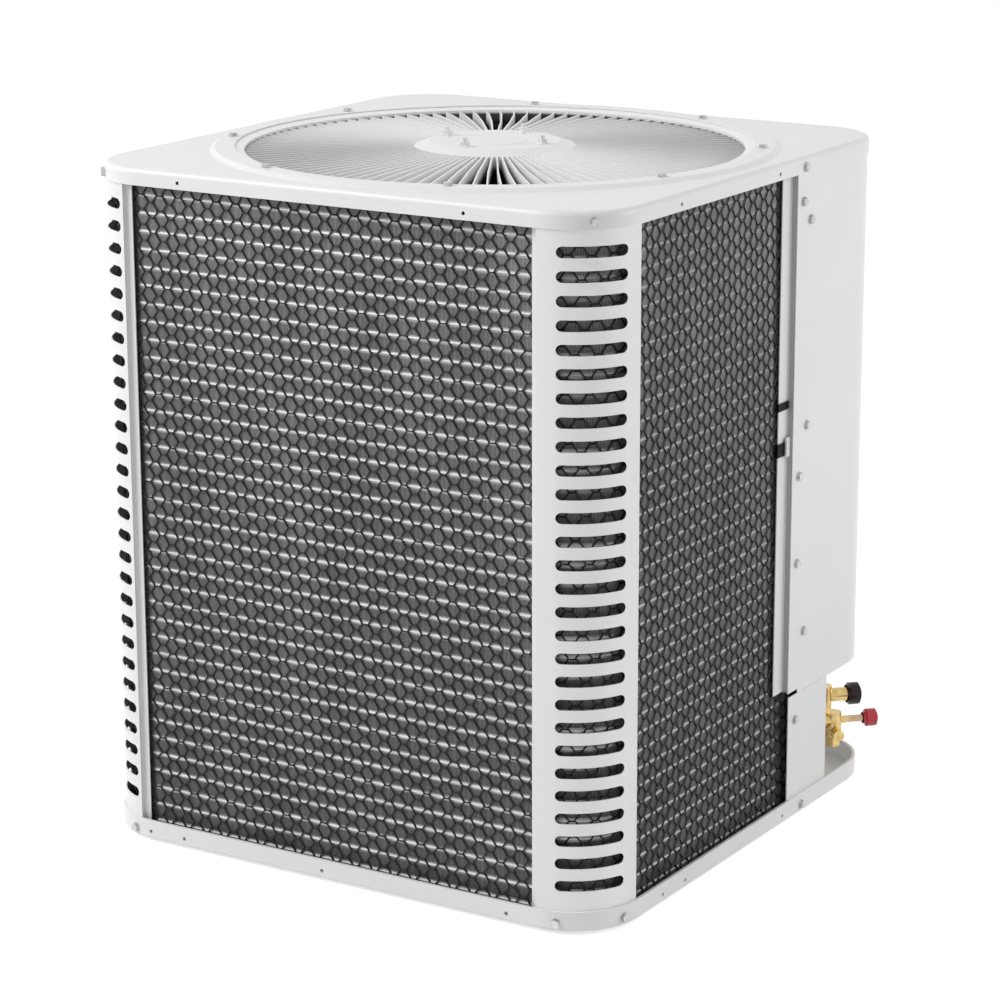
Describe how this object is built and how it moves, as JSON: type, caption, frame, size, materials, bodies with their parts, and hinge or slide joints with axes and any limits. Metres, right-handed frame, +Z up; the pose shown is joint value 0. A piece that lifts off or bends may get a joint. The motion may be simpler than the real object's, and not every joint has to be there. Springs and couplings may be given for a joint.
{
  "type": "outdoor condensing unit",
  "caption": "Top-discharge outdoor condensing unit: square cabinet with slotted corner posts, a wrapped coil behind a net, a radial fan guard and capped service valves.",
  "frame": {"origin": "on the floor under the fan axis, at the centre of the four anchor holes", "axes": "+Z up along the fan axis; the front is -Y; the service valves are at the +X +Y corner"},
  "size_m": [0.6559, 0.6561, 0.753],
  "materials": {
    "white_paint": "satin",
    "galvanised": "satin",
    "screw_steel": "satin",
    "fin_aluminium": "satin",
    "black_paint": "gloss",
    "copper": "satin",
    "brass": "satin",
    "black_plastic": "matte",
    "white_plastic": "matte",
    "red_plastic": "matte",
    "rubber": "matte"
  },
  "bodies": {
    "cabinet": {"accumulator": "black_paint", "accumulator_band": "galvanised", "base_pan": "white_paint", "capacitor": "fin_aluminium", "capacitor_strap": "galvanised", "coil_end_plate_back": "galvanised", "coil_end_plate_right": "galvanised", "coil_fins": "fin_aluminium", "coil_net": "black_plastic", "compressor": "black_paint", "compressor_base": "galvanised", "compressor_bolts": "screw_steel", "compressor_grommets": "rubber", "compressor_terminal_cover": "black_plastic", "condensate_line": "copper", "contactor": "black_plastic", "control_box": "galvanised", "corner_post_back": "white_paint", "corner_post_front": "white_paint", "corner_post_left": "white_paint", "cover_screws": "screw_steel", "discharge_line": "copper", "fan_guard": "white_paint", "fan_motor": "black_paint", "fan_orifice": "galvanised", "filter_drier": "copper", "guard_screws": "screw_steel", "guard_stiffener": "galvanised", "hub_cover": "white_paint", "liquid_line": "copper", "liquid_valve": "brass", "lower_panel": "white_paint", "motor_nuts": "screw_steel", "motor_studs": "screw_steel", "net_straps": "black_plastic", "panel_screws": "screw_steel", "return_bends_back": "copper", "return_bends_right": "copper", "rim_screws": "screw_steel", "service_cover": "white_paint", "service_post_back": "white_paint", "service_post_right": "white_paint", "skirt_screws": "screw_steel", "strap_clip": "white_plastic", "suction_line": "copper", "suction_valve": "brass", "terminal_block": "black_plastic", "top_cover": "white_paint"},
    "rotor": {"motor_shaft": "screw_steel", "fan_boss": "screw_steel", "fan_set_screw": "screw_steel", "fan_spider": "galvanised", "fan_blades": "fin_aluminium"},
    "suction_dust_cap": {"suction_dust_cap": "black_plastic"},
    "liquid_dust_cap": {"liquid_dust_cap": "red_plastic"},
    "suction_stem_cap": {"suction_stem_cap": "brass"},
    "liquid_stem_cap": {"liquid_stem_cap": "brass"},
    "suction_port_cap": {"suction_port_cap": "brass"},
    "liquid_port_cap": {"liquid_port_cap": "brass"},
    "contactor_plunger": {"contactor_plunger": "white_plastic"}
  },
  "joints": [
    {"name": "fan_spin", "type": "hinge", "parent": "cabinet", "child": "rotor", "pos_m": [0, 0, 0.6], "axis": [0, 0, 1], "continuous": true},
    {"name": "suction_cap_pull", "type": "slide", "parent": "cabinet", "child": "suction_dust_cap", "axis": [0.7071, 0.7071, 0], "range_m": [0, 0.03]},
    {"name": "liquid_cap_pull", "type": "slide", "parent": "cabinet", "child": "liquid_dust_cap", "axis": [0.7071, 0.7071, 0], "range_m": [0, 0.03]},
    {"name": "suction_stem_cap_turn", "type": "hinge", "parent": "cabinet", "child": "suction_stem_cap", "pos_m": [0.2588, 0.29416, 0.062], "axis": [0, 0, 1], "continuous": true},
    {"name": "liquid_stem_cap_turn", "type": "hinge", "parent": "cabinet", "child": "liquid_stem_cap", "pos_m": [0.29204, 0.25668, 0.043], "axis": [0, 0, 1], "continuous": true},
    {"name": "suction_port_cap_turn", "type": "hinge", "parent": "cabinet", "child": "suction_port_cap", "pos_m": [0.24607, 0.30688, 0.08], "axis": [-0.7071, 0.7071, 0], "continuous": true},
    {"name": "liquid_port_cap_turn", "type": "hinge", "parent": "cabinet", "child": "liquid_port_cap", "pos_m": [0.30335, 0.24537, 0.0555], "axis": [0.7071, -0.7071, 0], "continuous": true},
    {"name": "contactor_press", "type": "slide", "parent": "cabinet", "child": "contactor_plunger", "axis": [-0.7071, -0.7071, 0], "range_m": [0, 0.0035], "stiffness_N_per_m": 300, "springref_m": -0.002}
  ]
}
